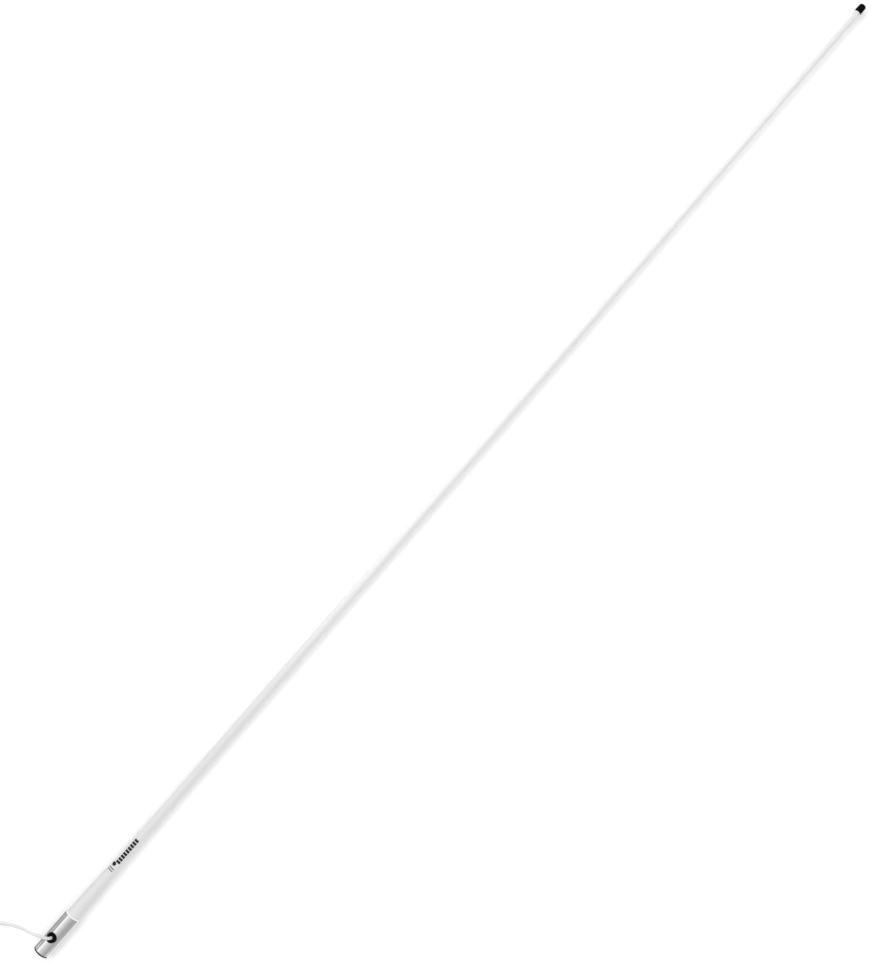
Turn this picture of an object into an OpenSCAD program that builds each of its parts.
// Omnidirectional whip antenna for a boat: a tapered fibreglass tube over a collinear
// radiator, in a plated threaded base with its coaxial cable and plug.
// Millimetres. The antenna lies along +X with the socket's mouth at the origin and the
// cable outlet on top. It rests on a flat surface at the base's lowest line.

/* [Base] */
// Outside diameter of the plated base
base_d = 32; // [30:0.5:34]
// Length of the plated base
base_len = 94.5; // [85:0.5:120]
// Bore of the mounting thread at its crests (1 inch, 14 threads per inch)
thread_bore = 23.44; // [23.2:0.02:23.8]
// Depth of the mounting thread from the mouth
thread_len = 26; // [20:1:28]
// Distance from the mouth to the centre of the cable outlet
outlet_x = 41; // [40:1:46]
// Turn of the cable outlet away from straight up
outlet_turn = 12.5; // [0:0.5:20]
// Diameter of the hole for the rubber grommet
outlet_hole = 16; // [15:0.5:17]
// Width of the grommet's outer flange
grommet_d = 21.5; // [18.5:0.5:22]
// Length of the white seal between base and tube
seal_len = 3; // [2:0.5:5]

/* [Tube] */
// Length over all, from the mouth to the end of the cap
total_len = 2438; // [2400:1:2500]
// Tube diameter where it enters the base
root_d = 27.7; // [26.5:0.1:27.9]
// Tube diameter at the end of the thick root
shoulder_d = 23; // [22:0.5:24]
// Tube diameter along the straight middle
middle_d = 19.2; // [18.6:0.2:20]
// Tube diameter at the tip
tip_d = 13; // [12.4:0.2:13.4]
// Wall of the tube in the middle
wall = 1.6; // [1.4:0.1:1.8]

/* [Cap] */
// Diameter of the rubber cap
cap_d = 14.4; // [14:0.2:16]
// Length of the rubber cap
cap_len = 18.5; // [16:0.5:24]

/* [Radiators] */
// Length of the decoupling sleeve, a quarter of a wave
sleeve_len = 455; // [440:1:470]
// Diameter of the decoupling sleeve
sleeve_d = 12; // [11:0.5:13]
// Length of the lower radiator, a quarter of a wave
lower_len = 460; // [440:1:480]
// Diameter of the lower radiator
lower_d = 9.5; // [9:0.1:10]
// Length of the upper radiator, half a wave
upper_len = 915; // [900:1:930]
// Diameter of the upper radiator
upper_d = 6; // [5:0.5:7]
// Number of turns in the phasing coil
coil_turns = 14; // [8:1:16]

/* [Cable] */
// Diameter of the coaxial cable
cable_d = 6.1; // [5.8:0.1:6.1]
// Turns of stored cable in one layer
turn_columns = 4; // [3:1:5]
// Layers of stored cable
turn_layers = 4; // [3:1:5]

/* [Plug] */
// Outside diameter of the coupling nut
nut_d = 18.4; // [18:0.2:18.6]
// Length of the coupling nut
nut_len = 18.5; // [18:0.5:19]
// Bore of the coupling nut's thread at its crests (5/8 inch, 24 threads per inch)
nut_bore = 14.74; // [14.6:0.02:14.9]
// Diameter of the centre pin
pin_d = 4; // [3.9:0.02:4]

/* [Hidden] */

$fn = 96;
fit = 0.05;                                // slack between inner pieces that slide together
base_r = base_d / 2;
floor_z = -base_r;                         // the surface the antenna lies on

// Inside of the base, along X
relief_len = 3;                            // groove behind the thread
relief_r = 12.9;
cavity_r = 11;                             // room for the cable to turn in
seat_x = 56;                               // shoulder that the tube's end rests on
mouth_chamfer = 1;
edge_chamfer = 0.6;

// Grommet
flange_h = 2.2;                            // how far the flange stands off the base
inner_flange_d = 18.4;
inner_flange_h = 1.2;

// Tube: where each diameter is reached, along X
seal_end = base_len + seal_len;
shoulder_x = 205;
middle_start = 400;
middle_end = 1370;
tip_x = total_len - 3.5;                   // end of the tube, inside the cap
middle_drop = 0.1;                         // the middle narrows by this much of its radius
slender_line = [[1755, 0.57], [2085, 0.13]];    // [distance along X, share of the last taper left]
root_wall = 2.6;
shoulder_wall = 2.2;
tip_wall = 1.5;
middle_end_r = middle_d / 2 - middle_drop;
outer_line = concat(
    [[seat_x, root_d / 2], [seal_end, root_d / 2], [shoulder_x, shoulder_d / 2],
     [middle_start, middle_d / 2], [middle_end, middle_end_r]],
    [for (p = slender_line) [p[0], tip_d / 2 + (middle_end_r - tip_d / 2) * p[1]]],
    [[tip_x, tip_d / 2]]
);
wall_line = concat(
    [[seat_x, root_wall], [shoulder_x, shoulder_wall], [middle_start, wall], [middle_end, wall]],
    [for (p = slender_line) [p[0], tip_wall]],
    [[tip_x, tip_wall]]
);

// Inner pieces, along X
potting_len = 28;
tip_plug_len = 28;
sleeve_start = 255;
sleeve_end = sleeve_start + sleeve_len;
sleeve_r = sleeve_d / 2;
sleeve_wall = 0.5;
spacer_count = 3;
spacer_len = 8;
spacer_inset = 4;
collar_len = 8;
conductor_r = 1.2;                         // bared middle wire of the cable
insulator_len = 24;
lower_start = sleeve_end + insulator_len;
lower_end = lower_start + lower_len;
lower_wall = 0.75;
former_len = 70;
former_r = 5.2;
spigot_len = 10;
upper_start = lower_end + former_len;
upper_end = upper_start + upper_len;
upper_wall = 0.6;
wire_r = 0.8;
terminal_len = 8;
terminal_r = 6;
shrink_lap = 6;                            // how far the shrink sleeve passes the terminals
shrink_wall = 0.4;
wire_gap = 0.2;
shrink_r = former_r + 2 * (wire_r + wire_gap);
bend_r = 14;                               // turn of the cable inside the base
foam_len = 14;
foam_places = [                            // [distance along X, diameter of what it holds]
    [150, cable_d], [225, cable_d], [480, sleeve_d], [690, sleeve_d], [900, lower_d],
    [1100, lower_d], [1420, upper_d], [1640, upper_d], [1860, upper_d], [2060, upper_d]
];

// Cable: outlet point and direction, then the stretch as it lies, up to the stored turns
cable_r = cable_d / 2;
outlet_dir = [0, sin(outlet_turn), cos(outlet_turn)];
outlet_point = [outlet_x, 0, 0] + (base_r + flange_h) * outlet_dir;
lead_z = floor_z + cable_r;
lead_route = [
    outlet_point, [41, 4.8, 21.8], [42.6, 6.9, 31.8], [42.8, 11.6, 39.4], [42, 17.8, 44.8],
    [40.1, 25.7, 48.2], [36.9, 35.1, 48.7], [32.6, 44.5, 45.2], [27.5, 52, 36.6], [21.7, 56.3, 25],
    [15.6, 63, 15], [8.7, 70.5, 6.3], [2.1, 78.5, -1.5], [-4.7, 86.9, -8.2], [-11.8, 96, lead_z],
    [-18.7, 106, lead_z], [-26.6, 116, lead_z], [-36, 126, lead_z], [-46, 136, lead_z],
    [-56.5, 146, lead_z], [-67, 154.5, lead_z]
];
coil_centre = [-95, 110];
coil_mid_r = 41.6;
layer_rise = 0.94 * cable_d;
layer_shift = 0.17 * cable_d;              // every second layer lies in the grooves of the last
bundle_half = turn_columns * cable_r + layer_shift;
bundle_top = floor_z + cable_d + (turn_layers - 1) * layer_rise;
plug_axis_z = floor_z + nut_d / 2 + 0.1;
plug_rear = [-156, 108, plug_axis_z];
plug_yaw = -90;
top_z = lead_z + (turn_layers - 1) * layer_rise;
tail_route = [
    [-104, 159, top_z], [-114, 158, top_z + 0.5], [-126, 155.5, top_z], [-137, 150.5, 1.8],
    [-146, 143, -2.2], [-152.5, 132, -5.2], [-155.5, 120, -6.4],
    plug_rear, plug_rear - [0, 14, 0], plug_rear - [0, 28, 0]
];
tube_sides = 12;
tie_angle = 250;
tie_w = 4.8;
tie_t = 1.2;
tie_head = [4, tie_w + 2, 6];
tie_head_drop = 9;                         // from the top of the stored turns

// Plug, along its own axis from the end of the boot
boot_len = 17;
reducer_start = 12;
reducer_head = 6;
reducer_head_r = 5.6;
reducer_r = 4.7;
reducer_len = 18;
barrel_start = reducer_start + reducer_head;
shoulder_start = 36;
shoulder_len = 3;
plug_shoulder_r = 7;
barrel_r = 6.2;
nose_end = 46;
nose_r = 6;
nose_bore = 4.6;
pin_start = 31;
pin_end = 52;
nut_start = 27;
nut_rim_len = 8.6;
nut_rim_bore = 6.5;
nut_bevel = [1.2, 0.8];                    // at the back and at the front

// Value of a [place, value] line at one place
function line_at(line, x, i = 0) =
    i >= len(line) - 2 || x <= line[i + 1][0]
    ? line[i][1] + (line[i + 1][1] - line[i][1]) * (x - line[i][0]) / (line[i + 1][0] - line[i][0])
    : line_at(line, x, i + 1);
function outer_r(x) = line_at(outer_line, x);
bore_line = [for (p = wall_line) [p[0], outer_r(p[0]) - p[1]]];
function inner_r(x) = line_at(bore_line, x);

function unit(v) = v / norm(v);
function route_dir(route, i) = unit(route[min(i + 1, len(route) - 1)] - route[max(i - 1, 0)]);

// Round tube along a list of points; side is any direction that the route never follows
module swept(route, r, side, sides = tube_sides) {
    count = len(route);
    corners = [
        for (i = [0:count - 1])
            let (t = route_dir(route, i), u = unit(cross(side, t)), v = cross(t, u))
            for (j = [0:sides - 1])
                route[i] + r * (cos(360 * j / sides) * u + sin(360 * j / sides) * v)
    ];
    walls = [
        for (i = [0:count - 2], j = [0:sides - 1])
            let (k = (j + 1) % sides, low = i * sides, high = low + sides)
            each [[low + j, high + j, high + k], [low + j, high + k, low + k]]
    ];
    first_end = [for (j = [0:sides - 1]) j];
    last_end = [for (j = [sides - 1:-1:0]) (count - 1) * sides + j];
    polyhedron(corners, concat(walls, [first_end, last_end]), convexity = 10);
}

// Turned piece along +X: points are [distance along X, radius]
module turned(points) {
    rotate([0, 90, 0]) rotate_extrude() polygon([for (p = points) [p[1], p[0]]]);
}

// Plain round bar or tube along +X
module bar(start, end, r, bore = 0) {
    turned([[start, bore], [start, r], [end, r], [end, bore]]);
}

// Stands a piece made along +Z in the cable outlet
module at_outlet() {
    translate([outlet_x, 0, 0]) rotate([-outlet_turn, 0, 0]) children();
}

// Places a piece made along +Z on the plug's axis
module at_plug() {
    translate(plug_rear) rotate([0, 90, plug_yaw]) children();
}

module plug_turned(points) {
    at_plug() rotate_extrude() polygon([for (p = points) [p[1], p[0]]]);
}

module ferrule() {
    thread_r = thread_bore / 2;
    relief_x = thread_len + relief_len;
    color("silver") difference() {
        turned([
            [0, thread_r + mouth_chamfer], [0, base_r - edge_chamfer], [edge_chamfer, base_r],
            [base_len - edge_chamfer, base_r], [base_len, base_r - edge_chamfer],
            [base_len, root_d / 2 + fit], [seat_x, root_d / 2 + fit], [seat_x, cavity_r],
            [relief_x, cavity_r], [relief_x, relief_r], [thread_len, relief_r],
            [thread_len, thread_r], [mouth_chamfer, thread_r]
        ]);
        at_outlet() cylinder(h = base_r + 1, d = outlet_hole);
    }
}

module cable_grommet() {
    color("black") difference() {
        union() {
            intersection() {
                at_outlet() cylinder(h = base_r + 2 * flange_h, d = grommet_d);
                bar(0, 2 * outlet_x, base_r + flange_h, base_r);
            }
            intersection() {
                at_outlet() cylinder(h = base_r + flange_h, d = outlet_hole - 2 * fit);
                bar(0, 2 * outlet_x, base_r + 0.2, cavity_r - 0.2);
            }
            intersection() {
                at_outlet() cylinder(h = base_r, d = inner_flange_d);
                bar(0, 2 * outlet_x, cavity_r, cavity_r - inner_flange_h);
            }
        }
        at_outlet() cylinder(h = base_r + 3 * flange_h, d = cable_d + 2 * fit);
        at_outlet() translate([0, 0, cavity_r - 2 * inner_flange_h])
            cylinder(h = bend_r - cavity_r + 2 * inner_flange_h, d1 = cable_d + 3, d2 = cable_d);
    }
}

module seal_ring() {
    color("white") turned([
        [base_len, root_d / 2], [base_len, base_r - 0.5], [base_len + 0.8, base_r - 0.1],
        [seal_end - 1.2, base_r - 0.2], [seal_end, root_d / 2 + 0.2], [seal_end, root_d / 2]
    ]);
}

module radome() {
    back = [for (i = [len(bore_line) - 1:-1:0]) bore_line[i]];
    color("whitesmoke") turned(concat(outer_line, back));
}

module base_potting() {
    potting_end = seat_x + potting_len;
    color("dimgray") bar(seat_x, potting_end, inner_r(potting_end) - fit, cable_r + fit);
}

module feed_coax() {
    straight = base_r + flange_h - bend_r;
    color("gainsboro") {
        bar(outlet_x + bend_r, sleeve_end, cable_r);
        at_outlet() {
            translate([bend_r, 0, bend_r]) rotate([90, 180, 0])
                rotate_extrude(angle = 90) translate([bend_r, 0]) circle(r = cable_r);
            translate([0, 0, bend_r]) cylinder(h = straight, r = cable_r);
        }
    }
}

module foam_spacers() {
    color("lightgray") for (p = foam_places)
        bar(p[0], p[0] + foam_len, inner_r(p[0] + foam_len) - fit, p[1] / 2 + fit);
}

module decoupling_sleeve() {
    color("goldenrod") bar(sleeve_start, sleeve_end, sleeve_r, sleeve_r - sleeve_wall);
}

module sleeve_spacers() {
    first = sleeve_start + spacer_inset;
    pitch = sleeve_len / spacer_count;
    color("white") for (i = [0:spacer_count - 1])
        bar(first + i * pitch, first + i * pitch + spacer_len,
            sleeve_r - sleeve_wall - fit, cable_r + fit);
}

module sleeve_collar() {
    color("gold") bar(sleeve_end - collar_len, sleeve_end,
                      sleeve_r - sleeve_wall - fit, cable_r + fit);
}

module feed_insulator() {
    body_end = lower_start;
    spigot_r = lower_d / 2 - lower_wall - fit;
    bore = conductor_r + 2 * fit;
    color("ivory") turned([
        [sleeve_end, bore], [sleeve_end, sleeve_r], [body_end, sleeve_r], [body_end, spigot_r],
        [body_end + spigot_len, spigot_r], [body_end + spigot_len, bore]
    ]);
}

module feed_conductor() {
    color("orange") bar(sleeve_end, lower_start + 2 * spigot_len, conductor_r);
}

module feed_slug() {
    start = lower_start + spigot_len;
    color("gold") bar(start, start + spigot_len,
                      lower_d / 2 - lower_wall - fit, conductor_r + fit);
}

module lower_radiator() {
    color("goldenrod") bar(lower_start, lower_end, lower_d / 2, lower_d / 2 - lower_wall);
}

module coil_former() {
    lower_fit = lower_d / 2 - lower_wall - fit;
    upper_fit = upper_d / 2 - upper_wall - fit;
    color("ivory") turned([
        [lower_end - spigot_len, 0], [lower_end - spigot_len, lower_fit], [lower_end, lower_fit],
        [lower_end, former_r], [upper_start, former_r], [upper_start, upper_fit],
        [upper_start + spigot_len, upper_fit], [upper_start + spigot_len, 0]
    ]);
}

module phasing_coil() {
    steps = 14;
    helix_r = former_r + wire_r + wire_gap;
    margin = 6;
    run = former_len - 2 * margin;
    count = coil_turns * steps;
    helix = [
        for (i = [0:count])
            [lower_end + margin + run * i / count,
             helix_r * cos(360 * i / steps), helix_r * sin(360 * i / steps)]
    ];
    color("peru") swept(helix, wire_r, [1, 0, 0], 6);
}

module coil_terminals() {
    color("gold") {
        bar(lower_end - terminal_len, lower_end, terminal_r, lower_d / 2 + fit);
        bar(upper_start, upper_start + terminal_len, terminal_r, upper_d / 2 + fit);
    }
}

module coil_heatshrink() {
    reach = terminal_len + shrink_lap;
    color("black") bar(lower_end - reach, upper_start + reach, shrink_r + shrink_wall, shrink_r);
}

module upper_radiator() {
    color("goldenrod") bar(upper_start, upper_end, upper_d / 2, upper_d / 2 - upper_wall);
}

module tip_plug() {
    end = tip_x - 2;
    color("lightgray") bar(end - tip_plug_len, end, inner_r(tip_x) - fit);
}

module tip_cap() {
    start = total_len - cap_len;
    cap_r = cap_d / 2;
    round_r = 2.5;
    corner = [
        for (a = [0:15:90])
            [total_len - round_r + round_r * sin(a), cap_r - round_r + round_r * cos(a)]
    ];
    color("black") turned(concat(
        [[start, outer_r(start) + fit], [start, cap_r - 0.5], [start + 1, cap_r]],
        corner,
        [[total_len, 0], [tip_x, 0], [tip_x, outer_r(tip_x) + fit]]
    ));
}

module coax_lead() {
    color("white") swept(lead_route, cable_r, [0.88, 0.48, 0]);
}

module coax_coil() {
    soft = cable_r;
    low = floor_z;
    inner = coil_mid_r - bundle_half;
    outer = coil_mid_r + bundle_half;
    color("white") translate(coil_centre) rotate_extrude() polygon([
        [inner + soft, low], [outer - soft, low], [outer, low + soft], [outer, bundle_top - soft],
        [outer - soft, bundle_top], [inner + soft, bundle_top], [inner, bundle_top - soft],
        [inner, low + soft]
    ]);
}

module coax_tail() {
    color("white") swept(tail_route, cable_r, [0, 0, 1]);
}

module coil_tie() {
    span = 2 * bundle_half;
    height = bundle_top - floor_z;
    color("black") translate(coil_centre) rotate(tie_angle)
        translate([coil_mid_r - bundle_half - tie_t, -tie_w / 2, floor_z]) {
            difference() {
                cube([span + 2 * tie_t, tie_w, height + tie_t]);
                translate([tie_t, -1, tie_t]) cube([span, tie_w + 2, height - tie_t]);
            }
            translate([span + 2 * tie_t, -1, height - tie_head_drop]) cube(tie_head);
        }
}

module plug_boot() {
    gap = 0.6;
    color("black") plug_turned([
        [0, cable_r + fit], [0, cable_r + gap], [8, cable_r + gap + 0.1],
        [reducer_start, reducer_head_r + gap], [boot_len, reducer_head_r + gap],
        [boot_len, reducer_head_r + fit], [reducer_start - fit, reducer_head_r + fit],
        [reducer_start - fit, cable_r + fit]
    ]);
}

module plug_reducer() {
    end = reducer_start + reducer_len;
    color("lightsteelblue") plug_turned([
        [reducer_start, cable_r + fit], [reducer_start, reducer_head_r],
        [barrel_start, reducer_head_r], [barrel_start, reducer_r], [end, reducer_r],
        [end, cable_r + fit]
    ]);
}

module plug_body() {
    color("lightsteelblue") plug_turned([
        [barrel_start, reducer_r + fit], [barrel_start, barrel_r], [shoulder_start, barrel_r],
        [shoulder_start, plug_shoulder_r], [shoulder_start + shoulder_len, plug_shoulder_r],
        [shoulder_start + shoulder_len, nose_r], [nose_end, nose_r], [nose_end, nose_bore],
        [pin_start + 1, nose_bore], [pin_start + 1, reducer_r + fit]
    ]);
}

module plug_insulator() {
    color("ivory") plug_turned([
        [pin_start + 2, pin_d / 2 + fit], [pin_start + 2, nose_bore - fit],
        [nose_end - 1.5, nose_bore - fit], [nose_end - 1.5, pin_d / 2 + fit]
    ]);
}

module plug_pin() {
    tip = 1;
    color("lightsteelblue") plug_turned([
        [pin_start, 0], [pin_start, pin_d / 2], [pin_end - tip, pin_d / 2],
        [pin_end, pin_d / 2 - tip], [pin_end, 0]
    ]);
}

module coupling_nut() {
    nut_end = nut_start + nut_len;
    nut_r = nut_d / 2;
    thread_start = nut_start + nut_rim_len;
    color("silver") plug_turned([
        [nut_start, nut_rim_bore], [nut_start, nut_r - nut_bevel[0]],
        [nut_start + nut_bevel[0], nut_r], [nut_end - nut_bevel[1], nut_r],
        [nut_end, nut_r - nut_bevel[1]], [nut_end, nut_bore / 2],
        [thread_start, nut_bore / 2], [thread_start, nut_rim_bore]
    ]);
}

ferrule();
cable_grommet();
seal_ring();
radome();
base_potting();
feed_coax();
foam_spacers();
decoupling_sleeve();
sleeve_spacers();
sleeve_collar();
feed_insulator();
feed_conductor();
feed_slug();
lower_radiator();
coil_former();
phasing_coil();
coil_terminals();
coil_heatshrink();
upper_radiator();
tip_plug();
tip_cap();
coax_lead();
coax_coil();
coax_tail();
coil_tie();
plug_boot();
plug_reducer();
plug_body();
plug_insulator();
plug_pin();
coupling_nut();
